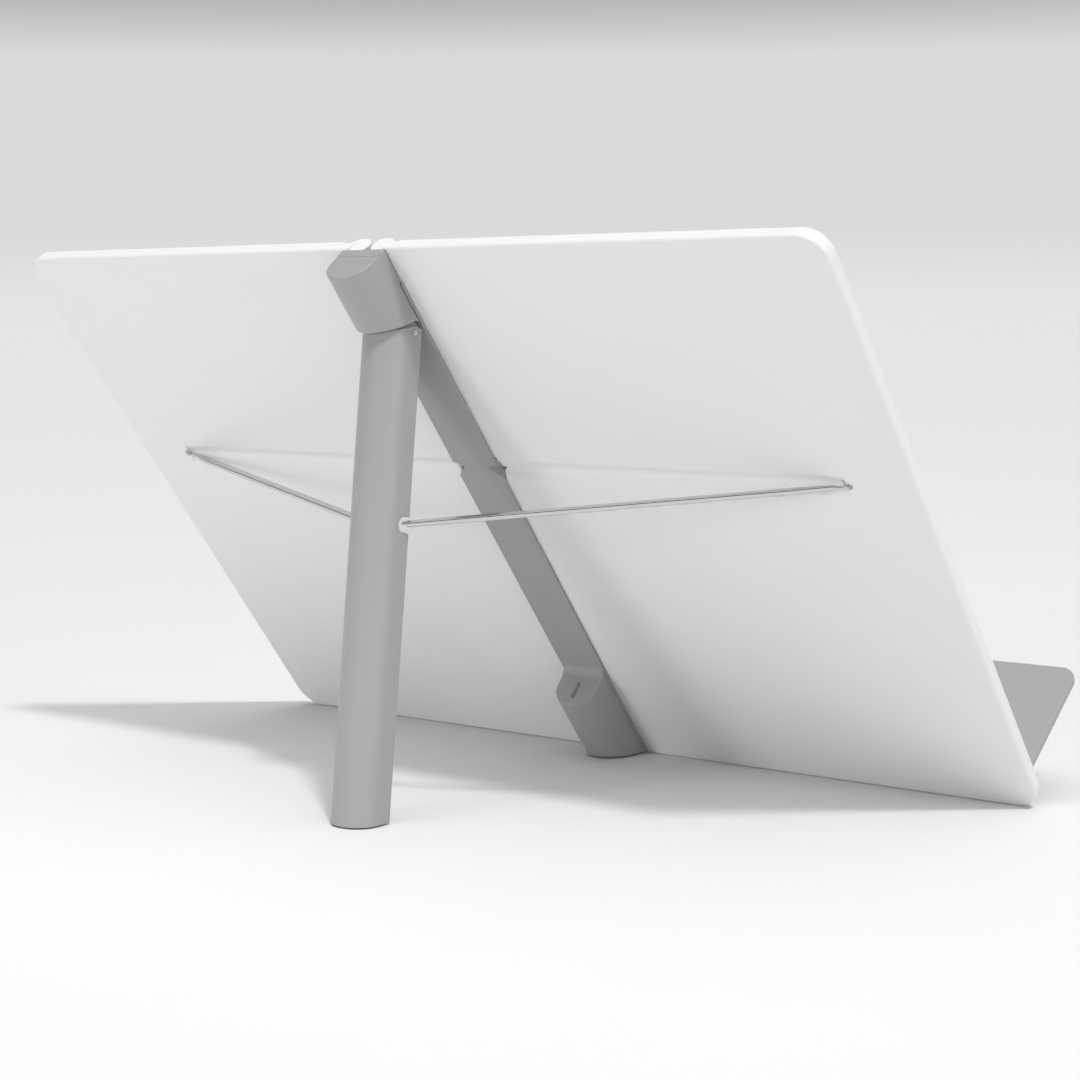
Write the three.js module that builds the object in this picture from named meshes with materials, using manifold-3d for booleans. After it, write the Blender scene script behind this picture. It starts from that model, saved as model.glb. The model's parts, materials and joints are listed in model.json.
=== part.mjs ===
// Portable drawing board: two hinged leaves on a spine, a folding rear leg, two steel struts
// that tie the leg to the leaves, and a folding ledge at the foot of each leaf.
// Millimetres, +Z up. The drawing side faces -Y, and the leg stands behind it on the +Y side.
//
// Everything is drawn in the board's own frame, then tilted back as one group:
//   x  across the board, v  up the board from its lower edge (local y),
//   n  out of the drawing side (local z); behind the board a depth w is -n.
import * as THREE from "three";
import { ConvexGeometry } from "three/addons/geometries/ConvexGeometry.js";
import { mergeVertices } from "three/addons/utils/BufferGeometryUtils.js";
import Module from "manifold-3d";

const wasm = await Module();
wasm.setup();

// ---- driving dimensions ----
const TILT = THREE.MathUtils.degToRad(52.5); // board to floor
const LEG_OPEN = THREE.MathUtils.degToRad(44.4); // leg to board
const BOARD_WIDTH = 454;
const BOARD_HEIGHT = 315;
const LEAF_THICK = 6.5;
const CORNER_R = 12;
const EDGE_R = 1.4; // rounding of the leaf's back edge
const SHELL_THICK = 4.9; // back shell, up to the joint line
const PANEL_GAP = 0.3; // between touching pieces
const PANEL_IN = 16.2; // inner edge of the front panel, clear of the barrel's ramp
const WALL = 1.6;
const RIM = 2.6; // leaf wall round its hollow
const RIB_HALF = 0.8; // stiffening ribs in the hollow
const RIB_XS = [70, 125, 180];
const RIB_VS = [60, 125, 255];
const GROOVE_R = 4.3; // soft groove across the leaf's back for the folded strut
const GROOVE_DEPTH = 1.8;

const HINGE_X = 5.7; // leaf hinge axes, either side of the middle
const HINGE_N = 4.75;
const BARREL_R = 4.75;
const LUG_R = 4.4; // spine lugs between the leaf knuckles
const PIN_R = 1.5;
const RAMP_END = 15.5; // where the barrel's ramp meets the drawing face
const STRUT_BED = [184.5, 196.5]; // the lug that the folded struts cross
const LUGS = [[19, 29], [99, 109], STRUT_BED, [287, 297]]; // lugs up the board, from and to
const BED_DEPTH = 4.4; // of that lug, in the leaves' thickness

const STRIP_HALF = 12.7;
const STRIP_PROUD = 1.45;
const STRIP_TOP = 297;

// Dent in each edge of the strip that clears the struts as the leg folds: x, v, n of its corners.
const DENT_INNER = [6.8, 192.1, -1.45];
const DENT_HIGH = [12.7, 194.7, -1.45];
const DENT_LOW = [12.7, 186.6, -1.45];
const DENT_DEEP = [12.7, 188.3, 3.9];
const DENT_REACH = [17.4, 191.9, -0.1]; // the leaf is hollowed out to here beside it

const BODY_HALF = 12.2; // half width of the leg, cap and base block
const SHOULDER = 10.5; // straight sides up to here, then half an ellipse
const CROWN = 21.1;

const PIVOT_V = 274.6; // leg pivot
const PIVOT_W = 6.8;
const LEG_BACK = 2.8; // open side of the folded leg above the board
const LEG_WALL = 1.5;
const HEAD_DISC_R = 4.9; // the knuckle's discs close the sides of the hood's mouth
const LEG_NOTCH_S = 83.4; // strut notch, down the leg from its pivot
const LEG_NOTCH_HALF = 3.35;
const LEG_NOTCH_W = 9.6;

const BLOCK_TOP = 59.4; // base block, at the strip
const BLOCK_DROP = 4.2; // its top face falls this much to the crown
const FOOT_LIFT = 0.5; // the pads stand this proud of the feet
const PAD_THICK = 0.9;
const FOOT_PLUG_S = 200; // top of the plug in the leg's foot

const HOOD_WALL = 1.3;
const BRACKET_HALF = 4.5; // half width of the leg bracket
const BRACKET_LOW = 266;
const BRACKET_HIGH = 286;
const BRACKET_BASE = 1.6;
const BRACKET_R = 4.2; // its lug round the pivot pin

const SCREW_HEAD_R = 2.4;
const SCREW_HEAD = 1.1; // depth of the countersunk head
const SCREW_R = 1.3;
const BASE_SCREWS = [14, 44]; // up the board
const BASE_SCREW_LONG = 8;
const BRACKET_SCREWS = [270, 282];
const BRACKET_SCREW_LONG = 3.6;
const CAP_SCREWS = [303, 309.5];
const CAP_SCREW_LONG = 9;

const STRUT_HOOK = [193.9, 190.3, 0.2]; // x, v, w of the strut's hook in the leaf
const STRUT_END = [11, 214.7, 64.8]; // and of its end in the leg's notch
const STRUT_WIDE = 4;
const STRUT_THICK = 2.4;
const STRUT_TILT = THREE.MathUtils.degToRad(25); // its wide side leans up from square to the leaf
const STRUT_CHISEL = 3.5; // the inner ends are cut askew, so the folded struts pass each other

const LEDGE_V = 11; // ledge hinge axis
const LEDGE_N = 8.5;
const LEDGE_DEPTH = 75.5;
const LEDGE_THICK = 3;
const LEDGE_OUT = 219.5;
const LEDGE_IN = 17;
const LEDGE_KNUCKLE = 1.8;
const LEDGE_PIN_R = 0.8;
const LEDGE_LUGS = [48, 118, 188]; // leaf lugs that carry the ledge pin
const LEDGE_RELIEF = 0.3; // the panel is let down this much under the ledge's knuckle

// The board's lowest line is the round of its back edge, which touches the floor.
const FLOOR_DROP = EDGE_R * (Math.sin(TILT) + Math.cos(TILT) - 1);

// ---- materials ----
function paint(color, roughness, metalness) {
  return new THREE.MeshStandardMaterial({ color, roughness, metalness });
}

const WHITE = () => paint(0xe9e9e8, 0.42, 0);
const GREY = () => paint(0x8f9091, 0.45, 0);
const STEEL = () => paint(0xc9cacb, 0.18, 1);
const RUBBER = () => paint(0x3c3d3e, 0.85, 0);

// ---- solids ----
function solid(geometry) {
  const plain = geometry.index ? geometry.toNonIndexed() : geometry.clone();
  plain.deleteAttribute("normal");
  plain.deleteAttribute("uv");
  const merged = mergeVertices(plain, 1e-4);
  return new wasm.Manifold(
    new wasm.Mesh({
      numProp: 3,
      vertProperties: merged.attributes.position.array,
      triVerts: new Uint32Array(merged.index.array),
    }),
  );
}

function geometryOf(manifold) {
  const mesh = manifold.getMesh();
  const geometry = new THREE.BufferGeometry();
  geometry.setAttribute("position", new THREE.BufferAttribute(mesh.vertProperties, 3));
  geometry.setIndex(new THREE.BufferAttribute(mesh.triVerts, 1));
  return geometry.toNonIndexed();
}

const join = (first, ...rest) => rest.reduce((sum, piece) => sum.add(piece), first);
const cut = (first, ...rest) => rest.reduce((left, piece) => left.subtract(piece), first);

function named(name, manifold, material) {
  const geometry = geometryOf(manifold);
  geometry.computeVertexNormals();
  const mesh = new THREE.Mesh(geometry, material);
  mesh.name = name;
  return mesh;
}

// Box from its low and high corners in x, v, n.
function box(x0, x1, v0, v1, n0, n1) {
  const geometry = new THREE.BoxGeometry(x1 - x0, v1 - v0, n1 - n0);
  return solid(geometry.translate((x0 + x1) / 2, (v0 + v1) / 2, (n0 + n1) / 2));
}

// An (x, v) outline raised from n0 to n1.
function plate(shape, n0, n1, curveSegments = 6) {
  const geometry = new THREE.ExtrudeGeometry(shape, { depth: n1 - n0, bevelEnabled: false, curveSegments });
  return solid(geometry.translate(0, 0, n0));
}

// An (x, n) section run up the board from v0 to v1.
function upright(shape, v0, v1, curveSegments = 12) {
  const geometry = new THREE.ExtrudeGeometry(shape, { depth: v1 - v0, bevelEnabled: false, curveSegments });
  return solid(geometry.rotateX(-Math.PI / 2).translate(0, v0, 0));
}

// A (v, w) side profile run across the board from x0 to x1.
function sideways(shape, x0, x1, curveSegments = 8) {
  const geometry = new THREE.ExtrudeGeometry(shape, { depth: x1 - x0, bevelEnabled: false, curveSegments });
  const turn = new THREE.Matrix4().makeBasis(
    new THREE.Vector3(0, 1, 0),
    new THREE.Vector3(0, 0, -1),
    new THREE.Vector3(-1, 0, 0),
  );
  return solid(geometry.applyMatrix4(turn).translate(x1, 0, 0));
}

// Round bar along v, or along x.
function barV(x, n, radius, v0, v1, sides = 20) {
  const geometry = new THREE.CylinderGeometry(radius, radius, v1 - v0, sides);
  return solid(geometry.translate(x, (v0 + v1) / 2, n));
}

function barX(v, n, radius, x0, x1, sides = 20) {
  const geometry = new THREE.CylinderGeometry(radius, radius, x1 - x0, sides);
  return solid(geometry.rotateZ(Math.PI / 2).translate((x0 + x1) / 2, v, n));
}

function polygon(points) {
  return new THREE.Shape(points.map(([x, y]) => new THREE.Vector2(x, y)));
}

// Arch section of the leg, cap and base block in (x, w), drawn inset from the outside.
function arch(inset, base) {
  const half = BODY_HALF - inset;
  const rise = CROWN - SHOULDER - inset;
  const shape = new THREE.Shape();
  shape.moveTo(-half, base);
  shape.lineTo(half, base);
  shape.lineTo(half, SHOULDER);
  shape.absellipse(0, SHOULDER, half, rise, 0, Math.PI, false, 0);
  shape.lineTo(-half, base);
  return shape;
}

// ---- groups ----
const group = new THREE.Group();
group.name = "portable_drawing_board";
const board = new THREE.Group();
board.rotation.x = TILT;
group.add(board);
const leg = new THREE.Group();
leg.position.set(0, PIVOT_V, -PIVOT_W);
leg.rotation.x = LEG_OPEN;
board.add(leg);

// Y shift that centres the whole object's box on the origin; Z shift puts its lowest line on the floor.
const legRadius = Math.hypot(PIVOT_V, PIVOT_W);
const pivotAngle = TILT - Math.atan2(PIVOT_W, PIVOT_V);
const pivotHeight = legRadius * Math.sin(pivotAngle) - FLOOR_DROP;
const legLean = TILT + LEG_OPEN - Math.PI / 2;
const footBackY =
  legRadius * Math.cos(pivotAngle) +
  (pivotHeight / Math.cos(legLean)) * Math.sin(legLean) +
  (CROWN - PIVOT_W) / Math.cos(legLean) -
  FOOT_LIFT * Math.tan(legLean);
const ledgeFrontY = (LEDGE_V - LEDGE_THICK / 2) * Math.cos(TILT) - LEDGE_DEPTH * Math.sin(TILT);
board.position.set(0, -(footBackY + ledgeFrontY) / 2, -FLOOR_DROP);
group.updateMatrixWorld(true);

// Half space below a height above the floor, in a group's own frame.
function belowFloor(frame, height) {
  const geometry = new THREE.BoxGeometry(900, 1200, 200).translate(0, 0, height - 100);
  return solid(geometry.applyMatrix4(new THREE.Matrix4().copy(frame.matrixWorld).invert()));
}

// ---- leaves, drawn for the +x side and mirrored for the other ----
function leafOutline(inset, innerX) {
  const outer = BOARD_WIDTH / 2 - inset;
  const top = BOARD_HEIGHT - inset;
  const radius = CORNER_R - inset;
  const shape = new THREE.Shape();
  shape.moveTo(innerX, inset);
  shape.lineTo(outer - radius, inset);
  shape.absarc(outer - radius, inset + radius, radius, -Math.PI / 2, 0, false);
  shape.lineTo(outer, top - radius);
  shape.absarc(outer - radius, top - radius, radius, 0, Math.PI / 2, false);
  shape.lineTo(innerX, top);
  shape.lineTo(innerX, inset);
  return shape;
}

// Barrel along the leaf's inner edge, with a soft ramp down to the drawing face.
function barrelSection() {
  const top = -HINGE_N - BARREL_R;
  const shape = new THREE.Shape();
  shape.absarc(HINGE_X, -HINGE_N, BARREL_R, Math.PI / 2, Math.PI * 1.5, false);
  shape.lineTo(HINGE_X + 2, top);
  shape.bezierCurveTo(HINGE_X + 5, top, RAMP_END - 4, -LEAF_THICK, RAMP_END, -LEAF_THICK);
  shape.lineTo(RAMP_END, 0);
  shape.lineTo(HINGE_X, 0);
  return shape;
}

function leafShell() {
  const rounded = new THREE.ExtrudeGeometry(leafOutline(0, HINGE_X + 4), {
    depth: LEAF_THICK - EDGE_R,
    bevelThickness: EDGE_R,
    bevelSize: EDGE_R,
    bevelOffset: -EDGE_R,
    bevelSegments: 3,
    curveSegments: 6,
  });
  let shell = solid(rounded.translate(0, 0, EDGE_R));
  shell = shell.intersect(box(0, BOARD_WIDTH, -1, BOARD_HEIGHT + 1, -1, SHELL_THICK));
  shell = join(shell, upright(barrelSection(), EDGE_R, BOARD_HEIGHT - EDGE_R, 10));
  const hollow = plate(leafOutline(RIM, PANEL_IN + RIM), WALL, LEAF_THICK + 1);
  const [hookX, hookV] = STRUT_HOOK;
  const grooveBed = box(0, BOARD_WIDTH, hookV - 7, hookV + 7, 0, 3.6);
  const inner = cut(hollow, grooveBed, ...leafRibs());
  shell = cut(shell, inner);
  shell = cut(shell, barX(hookV, GROOVE_DEPTH - GROOVE_R, GROOVE_R, 0, hookX, 32));
  shell = cut(shell, box(hookX - 2.2, hookX + 1.2, hookV - 1.9, hookV + 1.9, -1, 2.8));
  shell = cut(shell, barN(hookX + 1.2, hookV, 1.9, -1, 2.8, 20));
  for (const [low, high] of LUGS) {
    shell = cut(shell, barV(HINGE_X, HINGE_N, BARREL_R + 0.5, low - 0.4, high + 0.4, 24));
  }
  const [bedLow, bedHigh] = STRUT_BED;
  const bedDeep = BED_DEPTH + PANEL_GAP;
  shell = cut(shell, box(0, STRIP_HALF + PANEL_GAP, bedLow - 0.4, bedHigh + 0.4, -1, bedDeep));
  const pocket = [DENT_HIGH, DENT_LOW, DENT_DEEP, DENT_REACH].map((p) => new THREE.Vector3(...p));
  shell = cut(shell, solid(new ConvexGeometry(pocket)));
  return cut(shell, barV(HINGE_X, HINGE_N, PIN_R + 0.3, -1, BOARD_HEIGHT - 3));
}

// Stiffening ribs inside the hollow, left standing when it is cut.
function leafRibs() {
  const ribs = [];
  const ribTop = SHELL_THICK - PANEL_GAP;
  for (const x of RIB_XS) ribs.push(box(x - RIB_HALF, x + RIB_HALF, 0, BOARD_HEIGHT, 0, ribTop));
  for (const v of RIB_VS) ribs.push(box(0, BOARD_WIDTH, v - RIB_HALF, v + RIB_HALF, 0, ribTop));
  return ribs;
}

// Drawing face: a thin plate with a locating lip and the lower rail that stops the ledge.
function frontPanel() {
  const low = SHELL_THICK + PANEL_GAP;
  const lipEdge = leafOutline(RIM + PANEL_GAP, PANEL_IN + RIM + PANEL_GAP);
  const lipOut = plate(lipEdge, SHELL_THICK - 0.9, low + 0.1);
  const lipIn = plate(leafOutline(RIM + 1.5, PANEL_IN + RIM + 1.5), 0, low);
  const ribSlots = leafRibs().map((rib) => rib.translate([0, 0, 0.6]));
  const relief = box(0, BOARD_WIDTH, 0, LEDGE_V + 3, LEAF_THICK - LEDGE_RELIEF, LEAF_THICK + 1);
  const face = cut(plate(leafOutline(0.6, PANEL_IN), low, LEAF_THICK), relief);
  let panel = join(face, cut(lipOut, lipIn, ...ribSlots));
  const railTop = LEDGE_V - LEDGE_KNUCKLE - PANEL_GAP;
  panel = join(panel, box(LEDGE_IN, LEDGE_OUT - 4, 4, railTop, low + 0.1, LEDGE_N + 1.3));
  for (const x of LEDGE_LUGS) {
    panel = join(panel, box(x - 4, x + 4, 4, LEDGE_V, low + 0.1, LEDGE_N + LEDGE_KNUCKLE));
    panel = join(panel, barX(LEDGE_V, LEDGE_N, LEDGE_KNUCKLE, x - 4, x + 4, 16));
    panel = join(panel, box(x - 4, x + 4, LEDGE_V - 1, LEDGE_V + LEDGE_KNUCKLE, low + 0.1, LEDGE_N));
  }
  return cut(panel, barX(LEDGE_V, LEDGE_N, LEDGE_PIN_R + 0.3, 0, BOARD_WIDTH, 12));
}

// Ledge plate: mitred towards the spine, so the two ledges clear each other as the board closes.
function ledge() {
  const front = LEDGE_DEPTH;
  const corner = 8;
  const mitre = HINGE_X + 0.6 - LEDGE_N;
  const shape = new THREE.Shape();
  shape.moveTo(LEDGE_IN, -LEDGE_N);
  shape.lineTo(LEDGE_IN, -(LEDGE_IN - mitre));
  shape.lineTo(front + mitre - 6, -(front - 6));
  shape.quadraticCurveTo(front + mitre, -front, front + mitre + 8, -front);
  shape.lineTo(LEDGE_OUT - corner, -front);
  shape.absarc(LEDGE_OUT - corner, -(front - corner), corner, -Math.PI / 2, 0, false);
  shape.lineTo(LEDGE_OUT, -LEDGE_N);
  const flat = upright(shape, LEDGE_V - LEDGE_THICK / 2, LEDGE_V + LEDGE_THICK / 2, 8);
  let piece = join(flat, barX(LEDGE_V, LEDGE_N, LEDGE_KNUCKLE, LEDGE_IN, LEDGE_OUT, 16));
  for (const x of LEDGE_LUGS) {
    const reach = LEDGE_N + LEDGE_KNUCKLE + 0.4;
    piece = cut(piece, box(x - 4.4, x + 4.4, 0, LEDGE_V + 5, 0, reach));
  }
  return cut(piece, barX(LEDGE_V, LEDGE_N, LEDGE_PIN_R + 0.2, 0, BOARD_WIDTH, 12));
}

// Round bar square to the board.
function barN(x, v, radius, n0, n1, sides = 16) {
  const geometry = new THREE.CylinderGeometry(radius, radius, n1 - n0, sides).rotateX(Math.PI / 2);
  return solid(geometry.translate(x, v, (n0 + n1) / 2));
}

// ---- struts ----
const hookPoint = new THREE.Vector3(STRUT_HOOK[0], STRUT_HOOK[1], -STRUT_HOOK[2]);
const endPoint = new THREE.Vector3(STRUT_END[0], STRUT_END[1], -STRUT_END[2]);
const strutLength = hookPoint.distanceTo(endPoint);

// Frame of a strut: along it from the hook, then across its wide and its thin side.
const strutAlong = endPoint.clone().sub(hookPoint).normalize();
const strutWide = new THREE.Vector3(0, 0, -1);
strutWide.addScaledVector(strutAlong, -strutWide.dot(strutAlong)).normalize();
strutWide.applyAxisAngle(strutAlong, -STRUT_TILT);
const strutThin = new THREE.Vector3().crossVectors(strutAlong, strutWide);
const strutFrame = new THREE.Matrix4().makeBasis(strutAlong, strutWide, strutThin).setPosition(hookPoint);

// Flat bar with round edges: its outer end is bevelled and drawn down to a thin hook.
function strut(side) {
  const half = STRUT_WIDE / 2;
  const outline = new THREE.Shape();
  outline.moveTo(3.2, -1.3);
  outline.lineTo(22, -half);
  outline.lineTo(strutLength, -half);
  outline.lineTo(strutLength, half);
  outline.lineTo(26, half);
  outline.quadraticCurveTo(16, half, 3.2, 0.9);
  const round = 0.8;
  const thick = new THREE.ExtrudeGeometry(outline, {
    depth: STRUT_THICK - 2 * round,
    bevelThickness: round,
    bevelSize: round,
    bevelOffset: -round,
    bevelSegments: 3,
    curveSegments: 8,
  });
  const bar = solid(thick.translate(0, 0, round - STRUT_THICK / 2));
  const bend = new THREE.CatmullRomCurve3([
    new THREE.Vector3(6, -0.2, 0),
    new THREE.Vector3(2.8, 0.3, 0),
    new THREE.Vector3(0.6, 0.4, 0),
    new THREE.Vector3(-0.5, -0.5, 0),
    new THREE.Vector3(-0.9, -1.8, 0),
  ]);
  const wire = new THREE.Shape().absarc(0, 0, 0.7, 0, 2 * Math.PI, false);
  const hook = new THREE.ExtrudeGeometry(wire, { steps: 12, extrudePath: bend, curveSegments: 5 });
  const reach = STRUT_THICK / 2 + 1;
  const tip = new THREE.Shape();
  tip.moveTo(strutLength - (STRUT_CHISEL * (STRUT_THICK / 2 + reach)) / STRUT_THICK, -side * reach);
  tip.lineTo(strutLength + STRUT_CHISEL, -side * reach);
  tip.lineTo(strutLength + STRUT_CHISEL, side * reach);
  tip.lineTo(strutLength + (STRUT_CHISEL * (reach - STRUT_THICK / 2)) / STRUT_THICK, side * reach);
  const chisel = new THREE.ExtrudeGeometry(tip, { depth: 8, bevelEnabled: false }).translate(0, 0, -4);
  const whole = cut(join(bar, solid(hook)), solid(chisel.rotateX(Math.PI / 2)));
  return solid(geometryOf(whole).applyMatrix4(strutFrame));
}

// ---- the two sides ----
// side is +1 for the user's right hand (+x) and -1 for the left.
function addSide(side, word) {
  const mirror = (manifold) => (side > 0 ? manifold : manifold.mirror([1, 0, 0]));
  const add = (name, manifold, material) => board.add(named(`${name}_${word}`, mirror(manifold), material));
  add("leaf_shell", leafShell(), WHITE());
  add("front_panel", frontPanel(), WHITE());
  add("ledge", ledge(), GREY());
  add("ledge_pin", barX(LEDGE_V, LEDGE_N, LEDGE_PIN_R, LEDGE_IN + 1, LEDGE_OUT - 1, 12), STEEL());
  add("hinge_pin", barV(HINGE_X, HINGE_N, PIN_R, 4, BOARD_HEIGHT - 4), STEEL());
  add("strut", strut(side), STEEL());
}
addSide(1, "right");
addSide(-1, "left");

// ---- spine ----
// Channel cut into the strip's edge: two slanted faces that meet in a valley running down and out.
function edgeDent(side) {
  const [inner, high, low, deep] = [DENT_INNER, DENT_HIGH, DENT_LOW, DENT_DEEP].map(
    ([x, v, n]) => new THREE.Vector3(side * x, v, n),
  );
  const rise = inner.clone().sub(deep).multiplyScalar(0.3);
  const past = (corner) => corner.clone().lerp(inner, -0.5);
  const corners = [inner.clone().add(rise), past(high).add(rise), past(low).add(rise), past(deep)];
  return solid(new ConvexGeometry(corners));
}

function spineStrip() {
  let strip = box(-STRIP_HALF, STRIP_HALF, -4, STRIP_TOP, -STRIP_PROUD, -PANEL_GAP);
  strip = join(strip, box(-STRIP_HALF, STRIP_HALF, ...STRUT_BED, -PANEL_GAP - 0.2, BED_DEPTH));
  for (const [low, high] of LUGS) {
    strip = join(strip, box(-HINGE_X, HINGE_X, low, high, -PANEL_GAP - 0.2, HINGE_N));
    for (const x of [-HINGE_X, HINGE_X]) {
      strip = join(strip, barV(x, HINGE_N, LUG_R, low, high, 24));
      strip = cut(strip, barV(x, HINGE_N, PIN_R + 0.3, low - 1, high + 1));
    }
  }
  strip = cut(strip, edgeDent(1), edgeDent(-1));
  for (const v of [...BASE_SCREWS, ...BRACKET_SCREWS]) strip = cut(strip, screwHole(v, 20));
  return cut(strip, belowFloor(board, FOOT_LIFT));
}

// Countersunk screw driven from the drawing side, down the valley between the two barrels.
function turned(points, v, n) {
  const profile = points.map(([r, y]) => new THREE.Vector2(r, y));
  const geometry = new THREE.LatheGeometry(profile, 16).rotateX(Math.PI / 2);
  return solid(geometry.translate(0, v, n));
}

function screw(v, length) {
  const profile = [
    [0, -length],
    [SCREW_R, -length],
    [SCREW_R, -SCREW_HEAD],
    [SCREW_HEAD_R, 0],
    [0, 0],
  ];
  return turned(profile, v, -PANEL_GAP - 0.05);
}

function screwHole(v, depth) {
  const profile = [
    [0, -depth],
    [SCREW_R + 0.25, -depth],
    [SCREW_R + 0.25, -SCREW_HEAD],
    [SCREW_HEAD_R + 0.3, 0],
    [SCREW_HEAD_R + 0.3, 1],
    [0, 1],
  ];
  return turned(profile, v, -PANEL_GAP);
}

// The arch section run up the board.
function archPiece(inset, base, v0, v1) {
  return upright(arch(inset, base), v0, v1, 16);
}

// Hood over the leg's pivot, open below and on the board side. Its lower rim slopes.
function capHood() {
  const rim = polygon([
    [262, -1],
    [278, 2.4],
    [279.2, 5.2],
    [282.4, 13.3],
    [285, 19.6],
    [285.6, 23],
    [262, 23],
  ]);
  let hood = archPiece(0, PANEL_GAP, 272, BOARD_HEIGHT);
  hood = cut(hood, archPiece(HOOD_WALL, PANEL_GAP - 1, 260, BOARD_HEIGHT - 2));
  hood = cut(hood, sideways(rim, -20, 20));
  const bosses = CAP_SCREWS.map((v) => barN(0, v, 3.4, -CROWN + HOOD_WALL, -4, 20));
  hood = join(hood, ...bosses.map((boss) => boss.intersect(archPiece(0.5, 0, 260, BOARD_HEIGHT))));
  hood = cut(hood, ...CAP_SCREWS.map((v) => barN(0, v, SCREW_R + 0.25, -14, 0)));
  const stripRoom = box(-20, 20, 260, STRIP_TOP + PANEL_GAP, -STRIP_PROUD - PANEL_GAP, 5);
  return cut(hood, stripRoom);
}

function capPlate() {
  const half = BODY_HALF - HOOD_WALL - PANEL_GAP;
  const back = box(-half, half, STRIP_TOP + PANEL_GAP, BOARD_HEIGHT - 2.3, -3.7, -PANEL_GAP);
  return cut(back, ...CAP_SCREWS.map((v) => screwHole(v, 12)));
}

// Lug block on the strip that carries the leg's pivot pin.
function legBracket() {
  const side = new THREE.Shape();
  const base = STRIP_PROUD + PANEL_GAP;
  side.moveTo(BRACKET_LOW, base);
  side.lineTo(BRACKET_HIGH, base);
  side.lineTo(BRACKET_HIGH, base + BRACKET_BASE);
  side.lineTo(PIVOT_V + BRACKET_R, base + BRACKET_BASE);
  side.absarc(PIVOT_V, PIVOT_W, BRACKET_R, 0, Math.PI, false);
  side.lineTo(PIVOT_V - BRACKET_R, base + BRACKET_BASE);
  side.lineTo(BRACKET_LOW, base + BRACKET_BASE);
  const lug = sideways(side, -BRACKET_HALF, BRACKET_HALF, 10);
  const holes = BRACKET_SCREWS.map((v) => screwHole(v, BRACKET_SCREW_LONG + 0.6));
  return cut(lug, barX(PIVOT_V, -PIVOT_W, PIN_R + 0.3, -20, 20), ...holes);
}

// Foot of the spine: a solid arch with a sloping top, cut level with the floor.
function baseBlock() {
  const base = STRIP_PROUD + PANEL_GAP;
  const top = polygon([
    [BLOCK_TOP + 0.1, base - 1],
    [BLOCK_TOP, base],
    [BLOCK_TOP - BLOCK_DROP + 0.9, CROWN - 2.2],
    [BLOCK_TOP - BLOCK_DROP - 0.9, CROWN + 0.4],
    [BLOCK_TOP - BLOCK_DROP - 0.9, 30],
    [90, 30],
    [90, base - 1],
  ]);
  let block = cut(archPiece(0, base, -20, 80), sideways(top, -20, 20));
  block = cut(block, belowFloor(board, FOOT_LIFT));
  const recess = archPiece(2.2 - PANEL_GAP, base + 2.2 - PANEL_GAP, -20, 40);
  const recessTop = FOOT_LIFT + PAD_THICK;
  block = cut(block, recess.intersect(belowFloor(board, recessTop)));
  return cut(block, ...BASE_SCREWS.map((v) => screwHole(v, BASE_SCREW_LONG + 0.4)));
}

function basePad() {
  const core = archPiece(2.2, STRIP_PROUD + PANEL_GAP + 2.2, -20, 40);
  return cut(core.intersect(belowFloor(board, FOOT_LIFT + PAD_THICK - PANEL_GAP)), belowFloor(board, 0));
}

board.add(named("spine_strip", spineStrip(), GREY()));
board.add(named("cap_hood", capHood(), GREY()));
board.add(named("cap_plate", capPlate(), GREY()));
board.add(named("leg_bracket", legBracket(), GREY()));
board.add(named("base_block", baseBlock(), GREY()));
board.add(named("base_pad", basePad(), RUBBER()));
const pinHalf = BODY_HALF - 0.1;
board.add(named("leg_pivot_pin", barX(PIVOT_V, -PIVOT_W, PIN_R, -pinHalf, pinHalf), STEEL()));
function addScrews(word, places, length) {
  places.forEach((v, i) => board.add(named(`${word}_${i + 1}`, screw(v, length), STEEL())));
}
addScrews("base_screw", BASE_SCREWS, BASE_SCREW_LONG);
addScrews("bracket_screw", BRACKET_SCREWS, BRACKET_SCREW_LONG);
addScrews("cap_screw", CAP_SCREWS, CAP_SCREW_LONG);

// ---- leg, in its own frame: pivot at the origin, y up the leg, depth below the pivot is -z ----
function legArch(inset, base, s0, s1) {
  return archPiece(inset, base, -s1, -s0).translate([0, 0, PIVOT_W]);
}

function legChannel() {
  let channel = legArch(0, LEG_BACK, -8, 240);
  channel = cut(channel, legArch(LEG_WALL, 0, -20, 250));
  const head = polygon([
    [2.2, LEG_BACK - PIVOT_W - 1],
    [2.2, LEG_BACK - PIVOT_W],
    [2.9, 0],
    [-0.5, CROWN - PIVOT_W + 0.1],
    [-0.5, 30],
    [40, 30],
    [40, LEG_BACK - PIVOT_W - 1],
  ]);
  channel = cut(channel, sideways(head, -20, 20));
  const notchReach = LEG_NOTCH_W - PIVOT_W - LEG_NOTCH_HALF;
  const notch = new THREE.Shape();
  notch.moveTo(-LEG_NOTCH_S - LEG_NOTCH_HALF - 0.9, -20);
  notch.lineTo(-LEG_NOTCH_S + LEG_NOTCH_HALF, -20);
  notch.lineTo(-LEG_NOTCH_S + LEG_NOTCH_HALF, notchReach);
  notch.absarc(-LEG_NOTCH_S, notchReach, LEG_NOTCH_HALF, 0, Math.PI, false);
  notch.lineTo(-LEG_NOTCH_S - LEG_NOTCH_HALF, notchReach - 0.8);
  notch.lineTo(-LEG_NOTCH_S - LEG_NOTCH_HALF - 0.9, LEG_BACK - PIVOT_W);
  channel = cut(channel, sideways(notch, -20, 20, 10));
  channel = cut(channel, belowFloor(leg, FOOT_LIFT));
  return cut(channel, barX(0, 0, PIN_R + 0.2, -20, 20));
}

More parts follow.
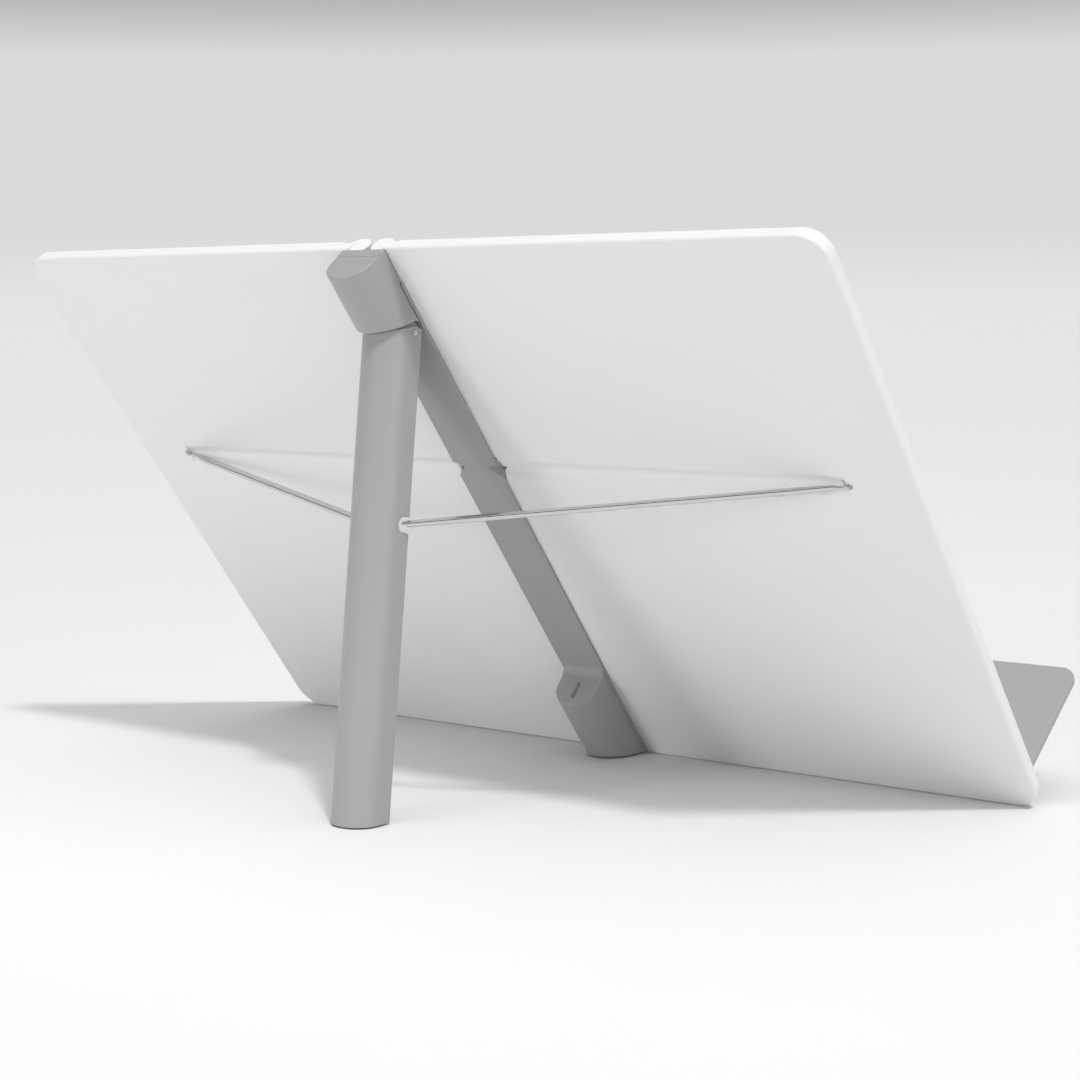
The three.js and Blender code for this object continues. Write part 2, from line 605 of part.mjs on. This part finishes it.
// Knuckle of revolution about the pivot: it fills the mouth of the hood at every angle.
function legHead() {
  const inset = LEG_WALL + 0.3;
  const half = BODY_HALF - inset;
  const profile = [new THREE.Vector2(0, -half)];
  const steps = 16;
  for (let i = 0; i <= steps; i += 1) {
    const angle = Math.PI * (i / steps - 0.5);
    const radius = SHOULDER - PIVOT_W + (CROWN - SHOULDER - inset) * Math.cos(angle);
    profile.push(new THREE.Vector2(radius, half * Math.sin(angle)));
  }
  profile.push(new THREE.Vector2(0, half));
  const ball = solid(new THREE.LatheGeometry(profile, 48).rotateZ(-Math.PI / 2));
  const wedge = polygon([
    [0, 0],
    [-0.5, 30],
    [31, 30],
  ]);
  let head = ball.intersect(sideways(wedge, -20, 20));
  head = join(head, barX(0, 0, HEAD_DISC_R, -half, half, 32));
  head = join(head, legArch(inset, PIVOT_W - 3.4, 0, 16));
  const slot = join(
    barX(0, 0, 5.2, -BRACKET_HALF - 0.4, BRACKET_HALF + 0.4, 32),
    box(-BRACKET_HALF - 0.4, BRACKET_HALF + 0.4, -12, 5.2, -0.5, 8),
  );
  return cut(head, slot, barX(0, 0, PIN_R + 0.3, -20, 20));
}

// Hollow plug in the open end of the channel.
function legFootPlug() {
  const core = legArch(LEG_WALL + 0.3, LEG_BACK + 0.4, FOOT_PLUG_S, 240);
  const bore = legArch(LEG_WALL + 2.2, LEG_BACK + 2.2, FOOT_PLUG_S - 1, 240);
  const open = cut(core, cut(bore, belowFloor(leg, FOOT_LIFT + 4)));
  return cut(open, belowFloor(leg, PAD_THICK + PANEL_GAP));
}

function legFootPad() {
  const core = legArch(LEG_WALL + 0.3, LEG_BACK + 0.4, FOOT_PLUG_S, 240);
  return cut(core.intersect(belowFloor(leg, PAD_THICK)), belowFloor(leg, 0));
}

leg.add(named("leg_channel", legChannel(), GREY()));
leg.add(named("leg_head", legHead(), GREY()));
leg.add(named("leg_foot_plug", legFootPlug(), GREY()));
leg.add(named("leg_foot_pad", legFootPad(), RUBBER()));

export default group;
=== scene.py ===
"""Looks for the portable drawing board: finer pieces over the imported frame, materials, light and camera.

Lengths inside the helpers are millimetres in the board's own frame:
x across the board, v up it from its lower edge, n out of its drawing side.
"""

import json
import math

import bmesh
import bpy
from mathutils import Matrix, Vector

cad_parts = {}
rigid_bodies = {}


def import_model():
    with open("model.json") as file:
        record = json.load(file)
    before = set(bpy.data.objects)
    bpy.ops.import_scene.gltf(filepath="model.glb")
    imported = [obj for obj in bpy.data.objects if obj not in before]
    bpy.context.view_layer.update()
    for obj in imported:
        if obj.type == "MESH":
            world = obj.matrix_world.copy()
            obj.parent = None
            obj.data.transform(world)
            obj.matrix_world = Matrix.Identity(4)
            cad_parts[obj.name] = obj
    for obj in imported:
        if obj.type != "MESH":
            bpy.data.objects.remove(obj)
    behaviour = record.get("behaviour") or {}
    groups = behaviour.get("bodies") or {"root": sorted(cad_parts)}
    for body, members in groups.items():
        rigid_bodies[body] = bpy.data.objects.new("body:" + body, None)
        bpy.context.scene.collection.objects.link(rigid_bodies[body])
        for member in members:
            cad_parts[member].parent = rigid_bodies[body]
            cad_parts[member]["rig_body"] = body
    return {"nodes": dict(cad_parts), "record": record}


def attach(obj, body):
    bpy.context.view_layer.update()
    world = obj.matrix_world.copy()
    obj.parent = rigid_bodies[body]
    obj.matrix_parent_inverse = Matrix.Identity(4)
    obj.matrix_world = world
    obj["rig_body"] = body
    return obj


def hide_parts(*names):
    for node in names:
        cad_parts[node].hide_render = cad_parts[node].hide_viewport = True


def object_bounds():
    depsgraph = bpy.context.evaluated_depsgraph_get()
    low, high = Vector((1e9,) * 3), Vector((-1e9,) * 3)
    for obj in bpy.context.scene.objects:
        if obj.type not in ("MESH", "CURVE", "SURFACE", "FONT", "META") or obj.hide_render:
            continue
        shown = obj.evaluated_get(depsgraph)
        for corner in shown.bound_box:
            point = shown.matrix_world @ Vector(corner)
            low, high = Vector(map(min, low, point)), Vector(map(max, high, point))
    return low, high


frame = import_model()
cad_low, cad_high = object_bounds()
scene = bpy.context.scene
mounts = {mount["name"]: mount for mount in frame["record"]["mounts"]}

# ---- the board's frame, read from the record and from the right leaf ----
RIGHT = Vector((1, 0, 0))
UP = Vector(mounts["right_ledge_face"]["axis"]).normalized()
FRONT = Vector(mounts["right_drawing_face"]["axis"]).normalized()
leaf_points = [vertex.co for vertex in frame["nodes"]["leaf_shell_right"].data.vertices]
ORIGIN = UP * min(p.dot(UP) for p in leaf_points) + FRONT * min(p.dot(FRONT) for p in leaf_points)
AXES = Matrix((RIGHT, UP, FRONT)).transposed().to_4x4()
BOARD = Matrix.Translation(ORIGIN) @ AXES @ Matrix.Scale(0.001, 4)

# ---- driving lengths and angles ----
STRUT_HOOK = Vector((193.9, 190.3, -0.2))
STRUT_END = Vector((11.0, 214.7, -64.8))
STRUT_WIDE = 4.0
STRUT_THICK = 2.4
STRUT_TILT = math.radians(25)
STRUT_CHISEL = 3.5  # its inner end is cut slantwise by this much
STRUT_CORNER = 0.8
TAPER_START = 21.5  # along the strut, from the hook
TAPER_LENGTH = 16.0
NECK_HALF = 0.9
GROOVE_HALF = 6.0
GROOVE_DEEP = 1.86
GROOVE_IN = 0.5
GROOVE_OUT = 194.4
CAP_TOP = 315.0
CAP_SEAM = 5.5  # depth of the seam behind the board
SEAM_HALF = 0.12
SEAM_DEEP = 0.2
BODY_HALF = 12.2
SHOULDER = 10.5
CROWN = 21.1
STRIP_PROUD = 1.45
BLOCK_TOP = 58.6
BLOCK_DROP = 4.2
BLOCK_FLARE = 4.0
BLOCK_BASE = -25  # below the floor, before it is cut level
BLOCK_RISE = 110
BLOCK_SUNK = 0.9  # how deep the block reaches into the strip
RIB_SPAN = (8, 16.5)
RIB_HALF = 0.55
RIB_DEEP = 0.15
FOOT_LIFT = 0.5
SMOOTH_LIMIT = 38  # edges sharper than this stay crisp
FLOOR_RADIUS = 40
FLOOR_GAP = 0.0002


# ---- materials ----
def tree_of(name):
    material = bpy.data.materials.new(name)
    material.use_nodes = True
    tree = material.node_tree
    return material, tree, tree.nodes["Principled BSDF"]


def node(tree, kind, **inputs):
    made = tree.nodes.new(kind)
    for key, value in inputs.items():
        made.inputs[key.replace("_", " ")].default_value = value
    return made


def spread(tree, source, low, high):
    """A 0 to 1 value, taken to a range."""
    ranged = tree.nodes.new("ShaderNodeMapRange")
    ranged.inputs["From Min"].default_value = 0.3
    ranged.inputs["From Max"].default_value = 0.7
    ranged.inputs["To Min"].default_value = low
    ranged.inputs["To Max"].default_value = high
    tree.links.new(source, ranged.inputs["Value"])
    return ranged.outputs["Result"]


def tinted(tree, source, colour, swing):
    """A colour that drifts a little lighter and darker with a 0 to 1 value."""
    mix = tree.nodes.new("ShaderNodeMix")
    mix.data_type = "RGBA"
    mix.inputs["A"].default_value = (*[c * (1 - swing) for c in colour], 1)
    mix.inputs["B"].default_value = (*[min(1, c * (1 + swing)) for c in colour], 1)
    tree.links.new(source, mix.inputs["Factor"])
    return mix.outputs["Result"]


def plastic(name, colour, rough, grain, bump, swing, specular=0.5):
    """Moulded plastic with a fine spark-eroded grain, slow colour drift and handling marks."""
    material, tree, shader = tree_of(name)
    link = tree.links.new
    place = tree.nodes.new("ShaderNodeTexCoord").outputs["Object"]
    fine = node(tree, "ShaderNodeTexNoise", Scale=1000 / grain, Detail=3.0, Roughness=0.6)
    slow = node(tree, "ShaderNodeTexNoise", Scale=14.0, Detail=3.0, Roughness=0.5)
    marks = node(tree, "ShaderNodeTexNoise", Scale=160.0, Detail=5.0, Roughness=0.65)
    for texture in (fine, slow, marks):
        link(place, texture.inputs["Vector"])
    link(tinted(tree, slow.outputs["Fac"], colour, swing), shader.inputs["Base Color"])
    wear = tree.nodes.new("ShaderNodeMath")
    wear.operation = "ADD"
    link(spread(tree, slow.outputs["Fac"], rough - 0.04, rough + 0.03), wear.inputs[0])
    link(spread(tree, marks.outputs["Fac"], -0.03, 0.03), wear.inputs[1])
    link(wear.outputs["Value"], shader.inputs["Roughness"])
    relief = node(tree, "ShaderNodeBump", Strength=bump, Distance=grain * 0.0002)
    link(fine.outputs["Fac"], relief.inputs["Height"])
    link(relief.outputs["Normal"], shader.inputs["Normal"])
    shader.inputs["Specular IOR Level"].default_value = specular
    return material


def polished_steel(name, stretch):
    """Polished steel with fine lengthwise lines. stretch is the coordinate output the lines follow."""
    material, tree, shader = tree_of(name)
    link = tree.links.new
    place = tree.nodes.new("ShaderNodeTexCoord").outputs[stretch]
    along = tree.nodes.new("ShaderNodeMapping")
    lengthwise, even = (3.0, 260.0, 260.0), (700.0, 700.0, 700.0)
    along.inputs["Scale"].default_value = lengthwise if stretch == "UV" else even
    link(place, along.inputs["Vector"])
    lines = node(tree, "ShaderNodeTexNoise", Scale=1.0, Detail=4.0, Roughness=0.6)
    link(along.outputs["Vector"], lines.inputs["Vector"])
    link(tinted(tree, lines.outputs["Fac"], (0.60, 0.60, 0.605), 0.03), shader.inputs["Base Color"])
    link(spread(tree, lines.outputs["Fac"], 0.08, 0.16), shader.inputs["Roughness"])
    relief = node(tree, "ShaderNodeBump", Strength=0.05, Distance=0.00003)
    link(lines.outputs["Fac"], relief.inputs["Height"])
    link(relief.outputs["Normal"], shader.inputs["Normal"])
    shader.inputs["Metallic"].default_value = 1.0
    return material


WHITE = plastic("white_moulding", (0.76, 0.76, 0.76), 0.48, 0.35, 0.10, 0.010)
GREY = plastic("grey_moulding", (0.325, 0.325, 0.326), 0.38, 0.30, 0.16, 0.022)
STRUT_STEEL = polished_steel("strut_steel", "UV")
PIN_STEEL = polished_steel("pin_steel", "Object")
RUBBER = plastic("foot_rubber", (0.035, 0.035, 0.036), 0.80, 0.60, 0.35, 0.06, 0.3)
FINISH = {"white_shell": WHITE, "grey_plastic": GREY, "steel": PIN_STEEL, "foot_rubber": RUBBER}


# ---- mesh helpers ----
def linked(name, mesh):
    made = bpy.data.objects.new(name, mesh)
    scene.collection.objects.link(made)
    return made


def from_lists(name, points, faces):
    """A mesh from points in the board's millimetres."""
    mesh = bpy.data.meshes.new(name)
    mesh.from_pydata([BOARD @ Vector(p) for p in points], [], faces)
    mesh.validate()
    fixed = bmesh.new()
    fixed.from_mesh(mesh)
    bmesh.ops.recalc_face_normals(fixed, faces=fixed.faces)
    fixed.to_mesh(mesh)
    fixed.free()
    return linked(name, mesh)


def prism(name, outline, shift):
    """A closed prism: an outline of board points, and the same outline moved by shift."""
    count = len(outline)
    far = [tuple(Vector(p) + Vector(shift)) for p in outline]
    sides = [(i, (i + 1) % count, count + (i + 1) % count, count + i) for i in range(count)]
    faces = [tuple(range(count)), tuple(range(2 * count - 1, count - 1, -1)), *sides]
    return from_lists(name, [*outline, *far], faces)


def baked(piece):
    """Applies the piece's modifiers to its mesh."""
    graph = bpy.context.evaluated_depsgraph_get()
    graph.update()
    mesh = bpy.data.meshes.new_from_object(piece.evaluated_get(graph))
    piece.modifiers.clear()
    piece.data = mesh
    return piece


def carved(piece, *cutters):
    """Cuts the cutters out of the piece, and removes them."""
    for cutter in cutters:
        carve = piece.modifiers.new("carve", "BOOLEAN")
        carve.operation = "DIFFERENCE"
        carve.solver = "EXACT"
        carve.object = cutter
    baked(piece)
    for cutter in cutters:
        bpy.data.objects.remove(cutter)
    return piece


def softened(piece, width, steps=3, limit=SMOOTH_LIMIT):
    """Rounds the piece's sharp edges by width, in millimetres, and smooths its curved faces."""
    tidy = bmesh.new()
    tidy.from_mesh(piece.data)
    bmesh.ops.remove_doubles(tidy, verts=tidy.verts, dist=4e-6)
    bmesh.ops.dissolve_limit(tidy, angle_limit=math.radians(0.5), verts=tidy.verts, edges=tidy.edges)
    tidy.to_mesh(piece.data)
    tidy.free()
    if width:
        edge = piece.modifiers.new("edges", "BEVEL")
        edge.width = width * 0.001
        edge.segments = steps
        edge.limit_method = "ANGLE"
        edge.angle_limit = math.radians(limit)
        edge.use_clamp_overlap = False
        edge.miter_outer = "MITER_ARC"
        baked(piece)
    smooth_shaded(piece, limit)
    return piece


def smooth_shaded(piece, limit):
    piece.data.polygons.foreach_set("use_smooth", [True] * len(piece.data.polygons))
    piece.data.set_sharp_from_angle(angle=math.radians(limit))
    even = piece.modifiers.new("even_faces", "WEIGHTED_NORMAL")
    even.keep_sharp = True
    return piece


def copy_of(cad, name):
    """The CAD node's own shape as a new piece to work on."""
    mesh = frame["nodes"][cad].data.copy()
    mesh.materials.clear()
    return linked(name, mesh)


slots = {part["node"]: part["material_slot"] for part in frame["record"]["subparts"]}


def stands_for(piece, cad, material=None):
    """Dresses the piece and lets it ride and stand for its CAD node."""
    piece.data.materials.clear()
    piece.data.materials.append(material or FINISH[slots[cad]])
    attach(piece, frame["nodes"][cad]["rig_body"])
    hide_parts(cad)
    return piece


def block(name, x0, x1, v0, v1, n0, n1):
    outline = [(x0, v0, n0), (x1, v0, n0), (x1, v1, n0), (x0, v1, n0)]
    return prism(name, outline, (0, 0, n1 - n0))


# ---- leaves ----
def groove_cutter(side):
    """Soft bell-shaped channel across the back of a leaf, where the folded strut lies."""
    steps = 20
    profile = [(STRUT_HOOK.y + GROOVE_HALF, -1.0), (STRUT_HOOK.y - GROOVE_HALF, -1.0)]
    for i in range(steps + 1):
        t = 2 * i / steps - 1
        deep = GROOVE_DEEP * 0.5 * (1 + math.cos(math.pi * t)) - 0.002
        profile.append((STRUT_HOOK.y + GROOVE_HALF * t, deep))
    outline = [(side * GROOVE_IN, v, n) for v, n in profile]
    return prism("groove_cutter", outline, (side * (GROOVE_OUT - GROOVE_IN), 0, 0))


def leaf_back(side, word):
    piece = copy_of(f"leaf_shell_{word}", f"leaf_back_{word}")
    carved(piece, groove_cutter(side))
    return stands_for(softened(piece, 0.22), f"leaf_shell_{word}")


# ---- foot of the spine ----
def arch_outline(v, base):
    """Section of the leg and the block: straight sides, then half an ellipse."""
    points = [(-BODY_HALF, v, -base), (BODY_HALF, v, -base), (BODY_HALF, v, -SHOULDER)]
    for i in range(1, 48):
        turn = math.pi * i / 48
        points.append((BODY_HALF * math.cos(turn), v, -SHOULDER - (CROWN - SHOULDER) * math.sin(turn)))
    return [*points, (-BODY_HALF, v, -SHOULDER)]


def block_top(w):
    """Height of the block's top face at depth w: a concave run off the strip, then a gentle fall."""
    fall = BLOCK_DROP * (w - STRIP_PROUD) / (CROWN - STRIP_PROUD)
    flare = max(0.0, 1 - (w - STRIP_PROUD) / BLOCK_FLARE)
    return BLOCK_TOP - fall + BLOCK_FLARE * (1 - math.sqrt(max(0.0, 1 - flare * flare)))


def spine_foot():
    """Solid arch at the foot of the spine, running off the strip and cut level with the floor."""
    outline = arch_outline(BLOCK_BASE, STRIP_PROUD - BLOCK_SUNK)
    piece = prism("foot_block", outline, (0, BLOCK_RISE, 0))
    start, past = STRIP_PROUD - 1.2, CROWN + 3
    depths = [start, *[STRIP_PROUD + BLOCK_FLARE * (i / 10) ** 1.6 for i in range(11)]]
    depths += [10, 14, 18, past]
    side = [(-30, block_top(max(w, STRIP_PROUD)), -w) for w in depths]
    top = prism("top_cutter", [*side, (-30, 120, -past), (-30, 120, -start)], (60, 0, 0))
    near, far = RIB_SPAN
    rib = [(-RIB_HALF, block_top(w) - RIB_DEEP, -w) for w in RIB_SPAN]
    mark = prism("rib_cutter", [*rib, (-RIB_HALF, 70, -far), (-RIB_HALF, 70, -near)], (2 * RIB_HALF, 0, 0))
    to_board = BOARD.inverted()
    corners = [(-0.05, 0.3), (0.05, 0.3), (0.05, -0.3), (-0.05, -0.3)]
    sole = [tuple(to_board @ Vector((x, y, cad_low.z + FOOT_LIFT * 0.001))) for x, y in corners]
    ground = prism("ground_cutter", sole, to_board.to_3x3() @ Vector((0, 0, -0.2)))
    carved(piece, top, mark, ground)
    return stands_for(softened(piece, 0.7, 4, 30), "base_block")


# ---- struts ----
def ring_section(half_wide, half_thick, corner):
    """Rounded rectangle, as points across the wide and the thin side."""
    points = []
    per_corner = 7
    for quarter, (sy, sz) in enumerate(((1, 1), (-1, 1), (-1, -1), (1, -1))):
        for i in range(per_corner):
            turn = math.pi / 2 * (quarter + i / (per_corner - 1))
            points.append(
                (
                    sy * (half_wide - corner) + corner * math.cos(turn),
                    sz * (half_thick - corner) + corner * math.sin(turn),
                )
            )
    return points


def strut_stations(length):
    """(along, sideways, half width, half thickness, corner) from the inner end out to the hook's tip."""
    half, thick = STRUT_WIDE / 2, STRUT_THICK / 2
    rows = [(s, 0.0, half, thick, STRUT_CORNER) for s in (length - 9, length - 60, 120, 60, 34, 28)]
    for s in (25, 22, 19, 16, 13, 10.5, 8.5, 7, 5.8):
        t = min(1.0, max(0.0, (TAPER_START - s) / TAPER_LENGTH))
        upper = half - (half - NECK_HALF) * t
        lower = -half + (half - 1.3) * min(1.0, max(0.0, (22 - s) / 18.8))
        slim = thick - 0.15 * max(0.0, (16 - s) / 10)
        rows.append((s, (upper + lower) / 2, (upper - lower) / 2, slim, 0.75))
    rows += [
        (4.9, -0.16, 0.95, 0.95, 0.7),
        (4.2, -0.05, 0.78, 0.78, 0.68),
        (3.4, 0.12, 0.66, 0.66, 0.64),
    ]
    for s, y in ((2.6, 0.3), (1.8, 0.42), (1.1, 0.43), (0.5, 0.32), (0.0, 0.05)):
        rows.append((s, y, 0.62, 0.62, 0.61))
    for s, y in ((-0.38, -0.35), (-0.64, -0.85), (-0.8, -1.4)):
        rows.append((s, y, 0.62, 0.62, 0.61))
    rows += [(-0.86, -1.7, 0.5, 0.5, 0.49), (-0.89, -1.85, 0.28, 0.28, 0.27)]
    return rows


def strut_bar(side, word):
    """Flat bar with round edges, drawn down at its outer end to a thin hook."""
    along = STRUT_END - STRUT_HOOK
    length = along.length
    along.normalize()
    wide = Vector((0, 0, -1))
    wide = (wide - along * wide.dot(along)).normalized()
    wide.rotate(Matrix.Rotation(-STRUT_TILT, 3, along))
    thin = along.cross(wide)
    rows = strut_stations(length)
    centres = [Vector((row[0], row[1])) for row in rows]
    points, around = [], []
    end_rows = [(0.0, 1.0), (0.0, 1.0), (0.35, 0.86)]
    inner = ring_section(STRUT_WIDE / 2, STRUT_THICK / 2, STRUT_CORNER)
    for k, (past, share) in enumerate(reversed(end_rows)):
        for y, z in inner:
            cut_end = length - STRUT_CHISEL / 2 + side * STRUT_CHISEL * z * share / STRUT_THICK
            s = cut_end - 0.35 + past - (2.0 if k == 2 else 0.0)
            points.append(STRUT_HOOK + along * s + wide * y * share + thin * z * share)
            around.append(s)
    for i, (s, y0, half_wide, half_thick, corner) in enumerate(rows):
        before, after = centres[max(0, i - 1)], centres[min(len(rows) - 1, i + 1)]
        run = (before - after).normalized()
        for y, z in ring_section(half_wide, half_thick, corner):
            at = Vector((s, y0)) + Vector((-run.y, run.x)) * y
            points.append(STRUT_HOOK + along * at.x + wide * at.y + thin * z)
            around.append(s)
    count = len(inner)
    rings = len(points) // count
    faces = [tuple(range(count)), tuple(range((rings - 1) * count, rings * count))]
    for r in range(rings - 1):
        for i in range(count):
            j = (i + 1) % count
            faces.append((r * count + i, r * count + j, (r + 1) * count + j, (r + 1) * count + i))
    if side < 0:
        points = [Vector((-p.x, p.y, p.z)) for p in points]
    piece = from_lists(f"strut_bar_{word}", points, faces)
    lay = piece.data.uv_layers.new(name="UVMap")
    for loop in piece.data.loops:
        i = loop.vertex_index
        lay.data[loop.index].uv = (around[i] * 0.01, (i % count) / count)
    smooth_shaded(piece, 50)
    return stands_for(piece, f"strut_{word}", STRUT_STEEL)


# ---- build ----
for side, word in ((1, "right"), (-1, "left")):
    leaf_back(side, word)
    strut_bar(side, word)
    panel = softened(copy_of(f"front_panel_{word}", f"drawing_panel_{word}"), 0.2)
    stands_for(panel, f"front_panel_{word}")
    plate = softened(copy_of(f"ledge_{word}", f"ledge_plate_{word}"), 0.35)
    stands_for(plate, f"ledge_{word}")

cap = softened(copy_of("cap_hood", "cap_cover"), 0.6, 4)
seam = (CAP_TOP - SEAM_DEEP, CAP_TOP + 1, -CAP_SEAM - SEAM_HALF, -CAP_SEAM + SEAM_HALF)
carved(cap, block("seam_cutter", -30, 30, *seam))
stands_for(smooth_shaded(cap, SMOOTH_LIMIT), "cap_hood")
stands_for(softened(copy_of("spine_strip", "spine_band"), 0.2), "spine_strip")
spine_foot()
for cad, name, width in (
    ("leg_channel", "rear_leg", 0.25),
    ("leg_head", "leg_knuckle", 0.25),
    ("leg_bracket", "pivot_bracket", 0.25),
    ("cap_plate", "cap_backing", 0.2),
    ("leg_foot_plug", "foot_plug", 0.25),
    ("leg_foot_pad", "leg_pad", 0.2),
    ("base_pad", "spine_pad", 0.2),
):
    stands_for(softened(copy_of(cad, name), width), cad)

for cad, shown in frame["nodes"].items():
    if shown.hide_render:
        continue
    shown.data.materials.clear()
    shown.data.materials.append(FINISH[slots[cad]])
    shown.data.polygons.foreach_set("use_smooth", [True] * len(shown.data.polygons))
    shown.data.set_sharp_from_angle(angle=math.radians(SMOOTH_LIMIT))

# ---- floor, light, camera ----
floor_mesh = bpy.data.meshes.new("floor")
disc = bmesh.new()
bmesh.ops.create_circle(disc, cap_ends=True, segments=96, radius=FLOOR_RADIUS)
disc.to_mesh(floor_mesh)
disc.free()
floor = linked("floor", floor_mesh)
floor.location.z = cad_low.z - FLOOR_GAP
floor.data.materials.append(plastic("floor_paper", (0.80, 0.80, 0.80), 0.85, 1.5, 0.02, 0.004, 0.15))

# Pale at the horizon, an unlit ring above it that the steel mirrors, then a bright ceiling.
SKY_STEPS = [
    (0.0, 0.78),
    (0.035, 0.70),
    (0.11, 0.70),
    (0.17, 0.12),
    (0.74, 0.12),
    (0.84, 1.45),
    (1.0, 1.45),
]
world = bpy.data.worlds.new("studio")
scene.world = world
world.use_nodes = True
sky = world.node_tree
heading = sky.nodes.new("ShaderNodeTexCoord")
split = sky.nodes.new("ShaderNodeSeparateXYZ")
ramp = sky.nodes.new("ShaderNodeValToRGB")
while len(ramp.color_ramp.elements) < len(SKY_STEPS):
    ramp.color_ramp.elements.new(0.5)
for element, (height, level) in zip(ramp.color_ramp.elements, SKY_STEPS):
    element.position = height
    element.color = (level, level, level, 1)
sky.links.new(heading.outputs["Generated"], split.inputs["Vector"])
sky.links.new(split.outputs["Z"], ramp.inputs["Fac"])
sky.links.new(ramp.outputs["Color"], sky.nodes["Background"].inputs["Color"])


def lamp_object(name, lamp, place, aim):
    made = bpy.data.objects.new(name, lamp)
    scene.collection.objects.link(made)
    made.location = place
    made.rotation_mode = "QUATERNION"
    made.rotation_quaternion = (Vector(aim) - Vector(place)).to_track_quat("-Z", "Y")
    return made


def soft_light(name, place, aim, size, power):
    lamp = bpy.data.lights.new(name, "AREA")
    lamp.shape = "DISK"
    lamp.size = size
    lamp.energy = power
    return lamp_object(name, lamp, place, aim)


KEY_FROM = (-0.53, 0.33, 1)
key = bpy.data.lights.new("key", "SUN")
key.energy = 1.42
key.angle = math.radians(5)
lamp_object("key", key, KEY_FROM, (0, 0, 0))
soft_light("key_box", (-1.1, 0.69, 2.08), (0, 0, 0), 0.6, 3.5)
soft_light("side_softbox", (-1.9, 0.35, 0.75), (0, 0, 0.15), 1.6, 8)

# The two fills light the shaded back, and stay out of the steel's reflections.
low_fill = bpy.data.lights.new("low_fill", "SPOT")
low_fill.energy = 88
low_fill.spot_size = math.radians(17)
low_fill.spot_blend = 1.0
low_fill.shadow_soft_size = 0.35
low_lamp = lamp_object("low_fill", low_fill, (0.8, 2.4, 0.35), (0.08, -0.06, 0.0))
back_lamp = soft_light("back_fill", (0.3, 2.5, 0.35), (0, 0, 0.05), 1.8, 12)
for fill in (low_lamp, back_lamp):
    fill.visible_glossy = False

camera = bpy.data.objects.new("camera", bpy.data.cameras.new("camera"))
scene.collection.objects.link(camera)
CAMERA_PLACE = (-0.65093, 0.81558, 0.22439)
HEADING = math.radians(141.675)
PITCH = math.radians(6.0505)
ROLL = math.radians(0.46666)
ahead = Vector(
    (
        math.sin(HEADING) * math.cos(PITCH),
        math.cos(HEADING) * math.cos(PITCH),
        -math.sin(PITCH),
    )
)
level_right = ahead.cross(Vector((0, 0, 1))).normalized()
level_up = level_right.cross(ahead)
across = level_right * math.cos(ROLL) - level_up * math.sin(ROLL)
upward = across.cross(ahead)
turn = Matrix((across, upward, -ahead)).transposed()
camera.matrix_world = Matrix.Translation(CAMERA_PLACE) @ turn.to_4x4()
camera.data.sensor_width = 36
camera.data.lens = 73.6104
camera.data.clip_start = 0.01
camera.data.clip_end = 200
scene.camera = camera
scene.view_settings.view_transform = "Standard"
